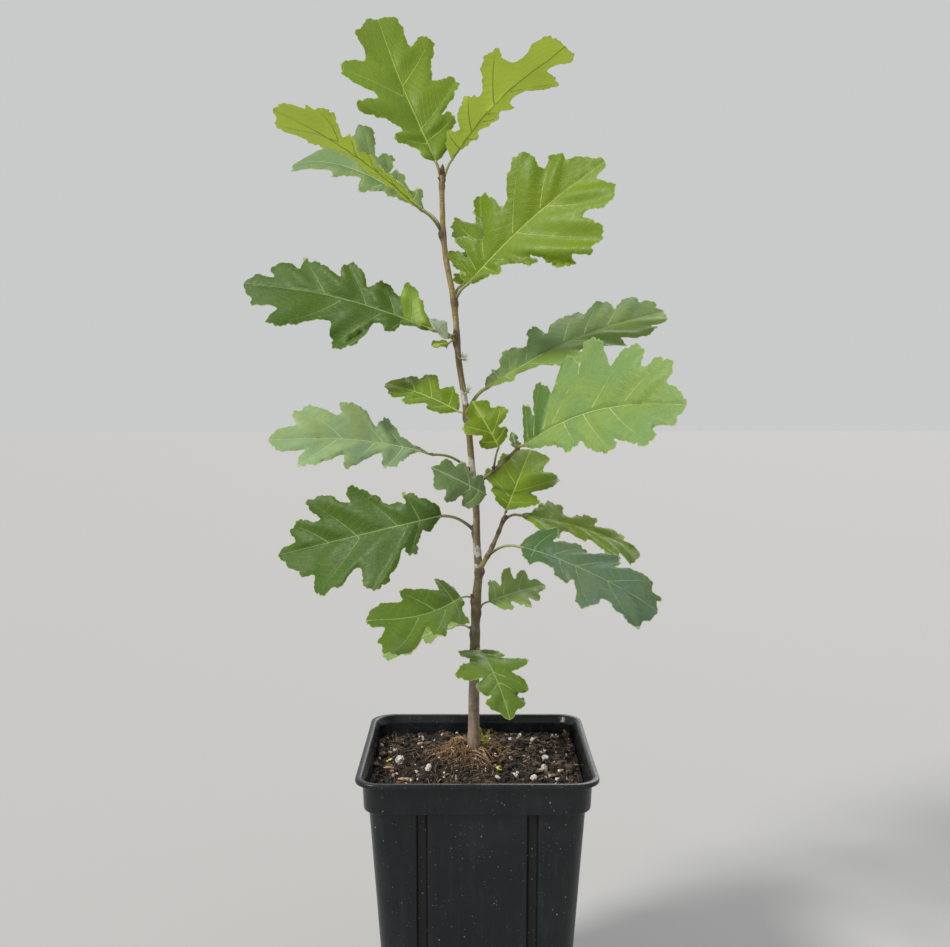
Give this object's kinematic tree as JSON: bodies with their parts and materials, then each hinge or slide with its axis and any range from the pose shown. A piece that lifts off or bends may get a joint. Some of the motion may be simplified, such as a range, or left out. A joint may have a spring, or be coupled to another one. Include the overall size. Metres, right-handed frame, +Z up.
{
  "type": "oak sapling in a square nursery pot",
  "caption": "Young oak with large lobed leaves on stalks along a slim, slightly zigzag stem, growing in a filled square plastic nursery pot.",
  "frame": {"origin": "middle of the pot's flat underside", "axes": "+Z is up along the stem; +X is to the right and +Y away from the camera in the picture's view"},
  "size_m": [0.2893, 0.221, 0.6834],
  "materials": {
    "pot_plastic": "matte black moulded plastic with fine dust",
    "potting_mix": "rough dark potting mix with white grains, bark chips and fibrous roots",
    "bark": "young grey-brown bark, olive higher up, with pale silvery patches and small cross marks",
    "shoot_bark": "smooth olive-brown bark of a young side shoot",
    "leaf": "satin green leaf with a pale midrib and side veins, paler below"
  },
  "bodies": {
    "root": {"pot": "pot_plastic", "root_ball": "potting_mix", "trunk": "bark", "shoot_low_right": "shoot_bark", "shoot_middle_right": "shoot_bark", "leaf_top_left": "leaf", "leaf_top_right": "leaf", "leaf_upper_left_front": "leaf", "leaf_upper_left_back": "leaf", "leaf_upper_right": "leaf", "leaf_upper_back": "leaf", "leaf_high_left": "leaf", "leaf_tiny_left": "leaf", "leaf_high_right": "leaf", "leaf_big_right": "leaf", "leaf_small_high_left": "leaf", "leaf_small_front": "leaf", "leaf_middle_left": "leaf", "leaf_front_small_left": "leaf", "leaf_low_left": "leaf", "leaf_shoot_up": "leaf", "leaf_shoot_out": "leaf", "leaf_low_right": "leaf", "leaf_lowest_right": "leaf", "leaf_lowest_left": "leaf", "leaf_lowest_left_back": "leaf", "leaf_bottom": "leaf"}
  },
  "joints": []
}
